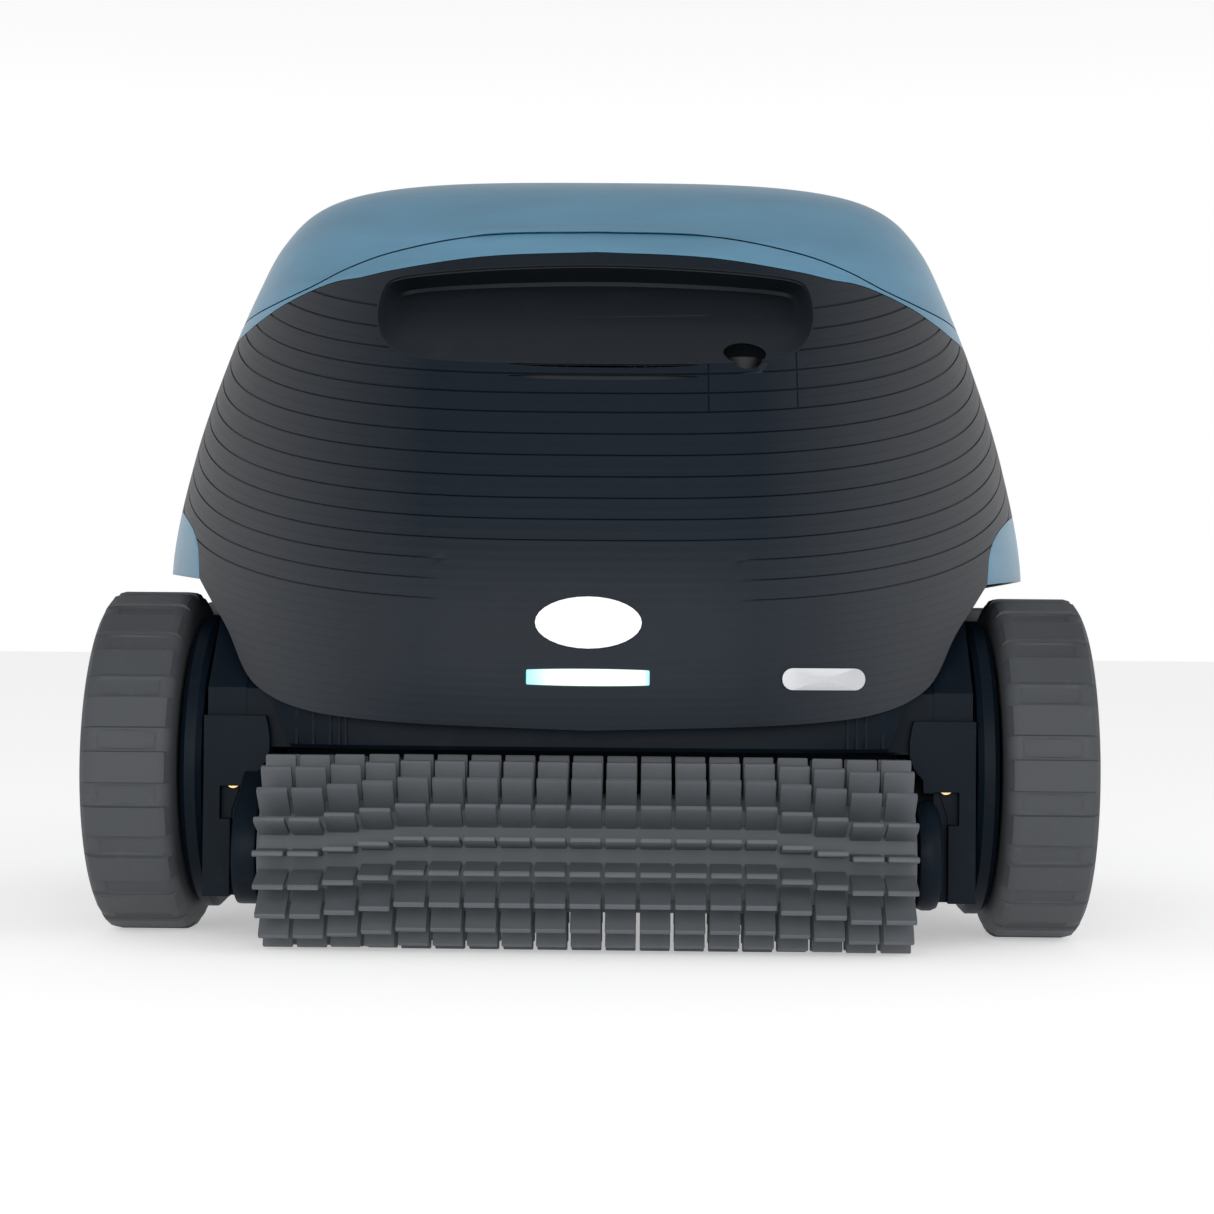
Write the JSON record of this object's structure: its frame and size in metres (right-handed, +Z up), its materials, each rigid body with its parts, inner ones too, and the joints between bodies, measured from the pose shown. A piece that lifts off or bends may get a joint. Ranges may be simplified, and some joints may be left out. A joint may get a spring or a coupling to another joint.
{
  "type": "robotic pool cleaner",
  "caption": "Robotic pool cleaner with pad-tread wheels, a paddle brush across the front, a curved shell with a grip recess, and a top lid over a debris basket.",
  "frame": {"origin": "centre of the bounding box on the floor", "axes": "+Z up, +X to the right seen from the front, front faces -Y"},
  "size_m": [0.38, 0.386, 0.3179],
  "materials": {
    "tread_rubber": "matt moulded",
    "brush_rubber": "matt moulded",
    "blue_plastic": "satin",
    "shell_plastic": "semi-matt",
    "navy_plastic": "semi-matt",
    "gear_plastic": "moulded",
    "steel": "ground",
    "motor_metal": "painted",
    "brass": "turned",
    "light_lens": "frosted, lit from behind",
    "circuit_board": "coated",
    "badge_white": "gloss",
    "plaque_metal": "satin",
    "black_rubber": "matt",
    "mesh_fabric": "woven screen"
  },
  "bodies": {
    "root": {"underbody": "navy_plastic", "left_side_frame": "navy_plastic", "right_side_frame": "navy_plastic", "left_gear_cover": "navy_plastic", "right_gear_cover": "navy_plastic", "left_belt_cover": "navy_plastic", "right_brush_bearing": "navy_plastic", "brush_belt": "black_rubber", "front_beam": "navy_plastic", "left_leg_cap": "navy_plastic", "right_leg_cap": "navy_plastic", "leg_screws": "brass", "front_shell": "shell_plastic", "grip_pocket": "shell_plastic", "cable_cover": "shell_plastic", "cable_gland": "black_rubber", "light_lens": "light_lens", "light_board": "circuit_board", "badge": "badge_white", "side_plaque": "plaque_metal", "hood": "blue_plastic", "rear_bumper": "navy_plastic", "outlet_grille": "navy_plastic", "outlet_duct": "navy_plastic", "deck": "navy_plastic", "motor_box": "navy_plastic", "motor_box_lid": "navy_plastic", "pump_motor": "motor_metal", "drive_motors": "motor_metal", "control_board": "circuit_board", "wheel_axles": "steel", "basket_frame": "blue_plastic", "basket_mesh": "mesh_fabric", "hinge_pins": "steel", "flap_pins": "steel"},
    "left_front_wheel": {"left_front_tyre": "tread_rubber", "left_front_rim": "navy_plastic", "left_front_flange": "navy_plastic", "left_front_gear": "gear_plastic", "belt_pulley": "gear_plastic"},
    "right_front_wheel": {"right_front_tyre": "tread_rubber", "right_front_rim": "navy_plastic", "right_front_flange": "navy_plastic", "right_front_gear": "gear_plastic"},
    "left_rear_wheel": {"left_rear_tyre": "tread_rubber", "left_rear_rim": "navy_plastic", "left_rear_flange": "navy_plastic", "left_rear_gear": "gear_plastic"},
    "right_rear_wheel": {"right_rear_tyre": "tread_rubber", "right_rear_rim": "navy_plastic", "right_rear_flange": "navy_plastic", "right_rear_gear": "gear_plastic"},
    "left_drive": {"left_drive_gear": "gear_plastic"},
    "right_drive": {"right_drive_gear": "gear_plastic"},
    "brush": {"brush_sleeve": "brush_rubber", "brush_core": "navy_plastic"},
    "lid": {"lid": "blue_plastic"},
    "impeller": {"impeller": "gear_plastic"},
    "left_intake_flap": {"left_intake_flap": "navy_plastic"},
    "right_intake_flap": {"right_intake_flap": "navy_plastic"}
  },
  "joints": [
    {"name": "left_front_wheel_spin", "type": "hinge", "parent": "root", "child": "left_front_wheel", "pos_m": [0, -0.0951, 0.0665], "axis": [1, 0, 0], "continuous": true},
    {"name": "right_front_wheel_spin", "type": "hinge", "parent": "root", "child": "right_front_wheel", "pos_m": [0, -0.0951, 0.0665], "axis": [1, 0, 0], "continuous": true},
    {"name": "left_rear_wheel_spin", "type": "hinge", "parent": "root", "child": "left_rear_wheel", "pos_m": [0, 0.09491, 0.0665], "axis": [1, 0, 0], "continuous": true},
    {"name": "right_rear_wheel_spin", "type": "hinge", "parent": "root", "child": "right_rear_wheel", "pos_m": [0, 0.09491, 0.0665], "axis": [1, 0, 0], "continuous": true},
    {"name": "left_drive_spin", "type": "hinge", "parent": "root", "child": "left_drive", "pos_m": [0, -0.0001, 0.0803], "axis": [1, 0, 0], "continuous": true},
    {"name": "right_drive_spin", "type": "hinge", "parent": "root", "child": "right_drive", "pos_m": [0, -0.0001, 0.0803], "axis": [1, 0, 0], "continuous": true},
    {"name": "brush_spin", "type": "hinge", "parent": "root", "child": "brush", "pos_m": [0, -0.1571, 0.0362], "axis": [1, 0, 0], "continuous": true},
    {"name": "lid_hinge", "type": "hinge", "parent": "root", "child": "lid", "pos_m": [0, 0.07591, 0.3135], "axis": [-1, 0, 0], "range_deg": [0, 100]},
    {"name": "impeller_spin", "type": "hinge", "parent": "root", "child": "impeller", "pos_m": [0, 0.1158, 0.16218], "axis": [0, 0, 1], "continuous": true},
    {"name": "left_intake_flap_hinge", "type": "hinge", "parent": "root", "child": "left_intake_flap", "pos_m": [0, -0.0946, 0.0284], "axis": [1, 0, 0], "range_deg": [0, 60]},
    {"name": "right_intake_flap_hinge", "type": "hinge", "parent": "root", "child": "right_intake_flap", "pos_m": [0, -0.0946, 0.0284], "axis": [1, 0, 0], "range_deg": [0, 60]}
  ],
  "couplings": [
    {"joint": "left_rear_wheel_spin", "follows": "left_front_wheel_spin", "ratio": 1},
    {"joint": "left_drive_spin", "follows": "left_front_wheel_spin", "ratio": -0.84615},
    {"joint": "right_rear_wheel_spin", "follows": "right_front_wheel_spin", "ratio": 1},
    {"joint": "right_drive_spin", "follows": "right_front_wheel_spin", "ratio": -0.84615},
    {"joint": "brush_spin", "follows": "left_front_wheel_spin", "ratio": 1.6667}
  ]
}
